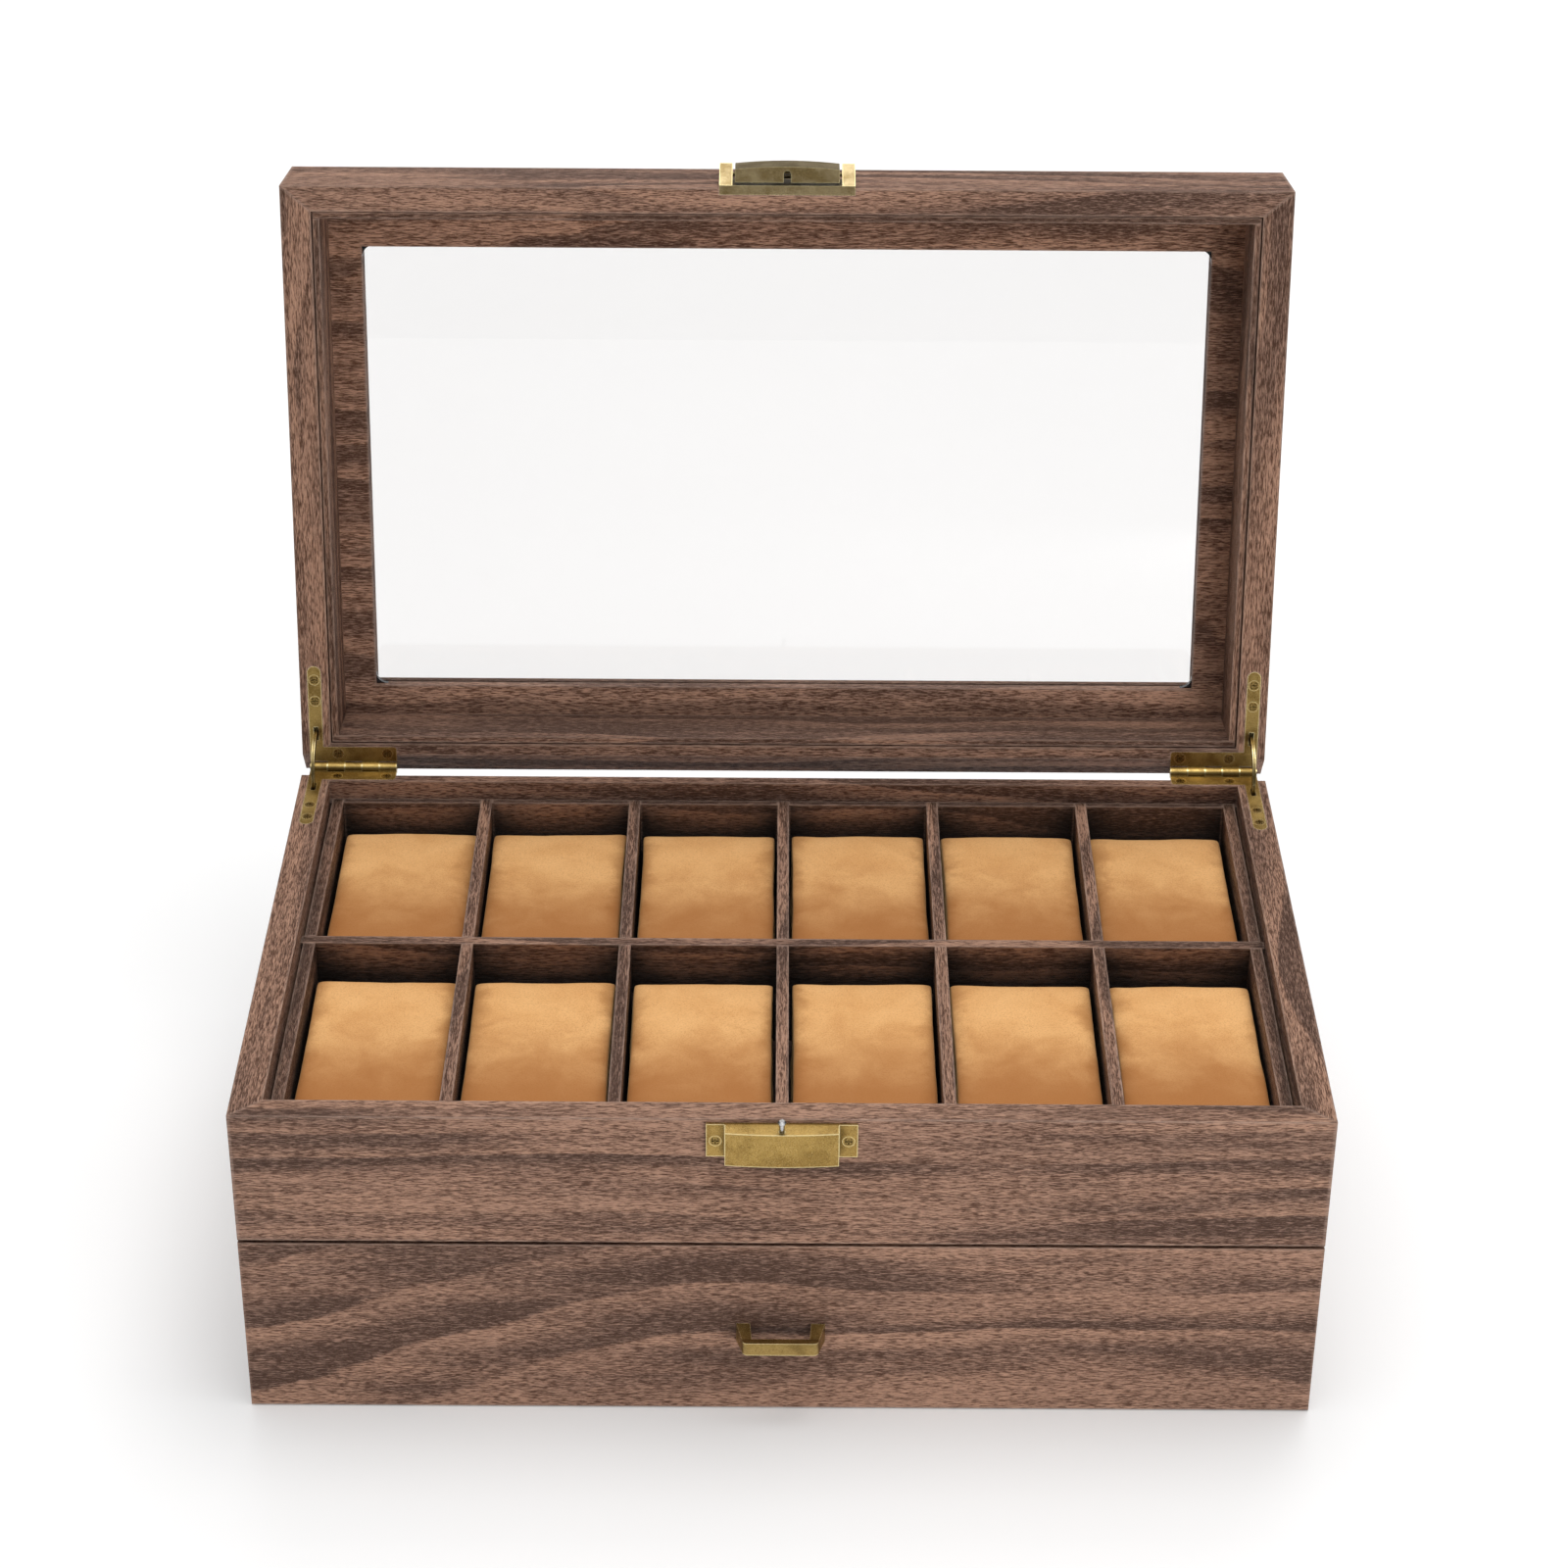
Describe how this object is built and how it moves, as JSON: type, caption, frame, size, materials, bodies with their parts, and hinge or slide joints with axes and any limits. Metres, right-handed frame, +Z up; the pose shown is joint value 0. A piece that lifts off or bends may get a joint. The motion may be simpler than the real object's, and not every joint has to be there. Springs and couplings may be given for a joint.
{
  "type": "watch box",
  "caption": "Two-tier watch box with a glazed hinged lid, a divided tray of lift-out cushions, a sprung front latch and a drawer with a bridge handle.",
  "frame": {"origin": "centre of the case's base face, on the surface that the box stands on", "axes": "+X to the right along the front, +Y from the front to the back, +Z up; the lid is open at rest"},
  "size_m": [0.334, 0.2838, 0.3195],
  "materials": {
    "woodgrain": "matt embossed wood-grain covering",
    "tray_woodgrain": "matt embossed wood-grain covering",
    "plain_board": "unfinished board",
    "glass": "clear polished",
    "black_pad": "glossy black",
    "antique_brass": "antiqued, bright on worn edges",
    "dark_brass": "antiqued, dark in the recesses",
    "steel": "polished",
    "suede": "short-nap suede"
  },
  "bodies": {
    "case": {"side_wall_left": "woodgrain", "side_wall_right": "woodgrain", "back_wall": "woodgrain", "upper_front_wall": "woodgrain", "base_panel": "plain_board", "deck_panel": "tray_woodgrain", "long_strip_back": "tray_woodgrain", "long_strip_centre": "tray_woodgrain", "long_strip_front": "tray_woodgrain", "end_strips": "tray_woodgrain", "cross_dividers": "tray_woodgrain", "case_leaf_left": "antique_brass", "case_leaf_right": "antique_brass", "hinge_pins": "dark_brass", "case_hinge_screws": "dark_brass", "catch_plate": "antique_brass", "catch_pin": "steel", "catch_screws": "dark_brass"},
    "lid": {"lid_front_rail": "woodgrain", "lid_back_rail": "woodgrain", "lid_stile_left": "woodgrain", "lid_stile_right": "woodgrain", "lid_top_panel": "woodgrain", "lid_inner_frame": "woodgrain", "lid_glass": "glass", "glass_corner_pads": "black_pad", "lid_liner_long": "woodgrain", "lid_liner_short": "woodgrain", "lid_leaf_left": "antique_brass", "lid_leaf_right": "antique_brass", "lid_hinge_screws": "dark_brass", "latch_housing": "antique_brass", "latch_screws": "dark_brass", "flap_pivot_pin": "dark_brass", "flap_spring": "steel"},
    "flap": {"latch_flap": "antique_brass"},
    "stay_arm_left": {"stay_left": "antique_brass"},
    "stay_arm_right": {"stay_right": "antique_brass"},
    "drawer": {"drawer_front": "woodgrain", "drawer_side_left": "tray_woodgrain", "drawer_side_right": "tray_woodgrain", "drawer_back": "tray_woodgrain", "drawer_bottom": "plain_board", "drawer_lining": "suede", "drawer_dividers": "suede", "drawer_handle": "antique_brass", "handle_screws": "dark_brass"},
    "cushion_1": {"cushion_1": "suede"},
    "cushion_2": {"cushion_2": "suede"},
    "cushion_3": {"cushion_3": "suede"},
    "cushion_4": {"cushion_4": "suede"},
    "cushion_5": {"cushion_5": "suede"},
    "cushion_6": {"cushion_6": "suede"},
    "cushion_7": {"cushion_7": "suede"},
    "cushion_8": {"cushion_8": "suede"},
    "cushion_9": {"cushion_9": "suede"},
    "cushion_10": {"cushion_10": "suede"},
    "cushion_11": {"cushion_11": "suede"},
    "cushion_12": {"cushion_12": "suede"}
  },
  "joints": [
    {"name": "lid_hinge", "type": "hinge", "parent": "case", "child": "lid", "pos_m": [0, 0.10005, 0.11315], "axis": [-1, 0, 0], "range_deg": [-101, 0]},
    {"name": "stay_left_turn", "type": "hinge", "parent": "case", "child": "stay_arm_left", "pos_m": [0, 0.10005, 0.11315], "axis": [-1, 0, 0], "range_deg": [-50.5, 0]},
    {"name": "stay_right_turn", "type": "hinge", "parent": "case", "child": "stay_arm_right", "pos_m": [0, 0.10005, 0.11315], "axis": [-1, 0, 0], "range_deg": [-50.5, 0]},
    {"name": "flap_pivot", "type": "hinge", "parent": "lid", "child": "flap", "pos_m": [0, 0.14869, 0.31386], "axis": [-1, 0, 0], "range_deg": [0, 34], "stiffness_Nm_per_rad": 0.03, "springref_deg": -11.46},
    {"name": "drawer_slide", "type": "slide", "parent": "case", "child": "drawer", "axis": [0, -1, 0], "range_m": [0, 0.15]},
    {"name": "cushion_1_lift", "type": "slide", "parent": "case", "child": "cushion_1", "axis": [0, 0, 1], "range_m": [0, 0.05]},
    {"name": "cushion_2_lift", "type": "slide", "parent": "case", "child": "cushion_2", "axis": [0, 0, 1], "range_m": [0, 0.05]},
    {"name": "cushion_3_lift", "type": "slide", "parent": "case", "child": "cushion_3", "axis": [0, 0, 1], "range_m": [0, 0.05]},
    {"name": "cushion_4_lift", "type": "slide", "parent": "case", "child": "cushion_4", "axis": [0, 0, 1], "range_m": [0, 0.05]},
    {"name": "cushion_5_lift", "type": "slide", "parent": "case", "child": "cushion_5", "axis": [0, 0, 1], "range_m": [0, 0.05]},
    {"name": "cushion_6_lift", "type": "slide", "parent": "case", "child": "cushion_6", "axis": [0, 0, 1], "range_m": [0, 0.05]},
    {"name": "cushion_7_lift", "type": "slide", "parent": "case", "child": "cushion_7", "axis": [0, 0, 1], "range_m": [0, 0.05]},
    {"name": "cushion_8_lift", "type": "slide", "parent": "case", "child": "cushion_8", "axis": [0, 0, 1], "range_m": [0, 0.05]},
    {"name": "cushion_9_lift", "type": "slide", "parent": "case", "child": "cushion_9", "axis": [0, 0, 1], "range_m": [0, 0.05]},
    {"name": "cushion_10_lift", "type": "slide", "parent": "case", "child": "cushion_10", "axis": [0, 0, 1], "range_m": [0, 0.05]},
    {"name": "cushion_11_lift", "type": "slide", "parent": "case", "child": "cushion_11", "axis": [0, 0, 1], "range_m": [0, 0.05]},
    {"name": "cushion_12_lift", "type": "slide", "parent": "case", "child": "cushion_12", "axis": [0, 0, 1], "range_m": [0, 0.05]}
  ],
  "couplings": [
    {"joint": "stay_left_turn", "follows": "lid_hinge", "ratio": 0.5},
    {"joint": "stay_right_turn", "follows": "lid_hinge", "ratio": 0.5}
  ]
}
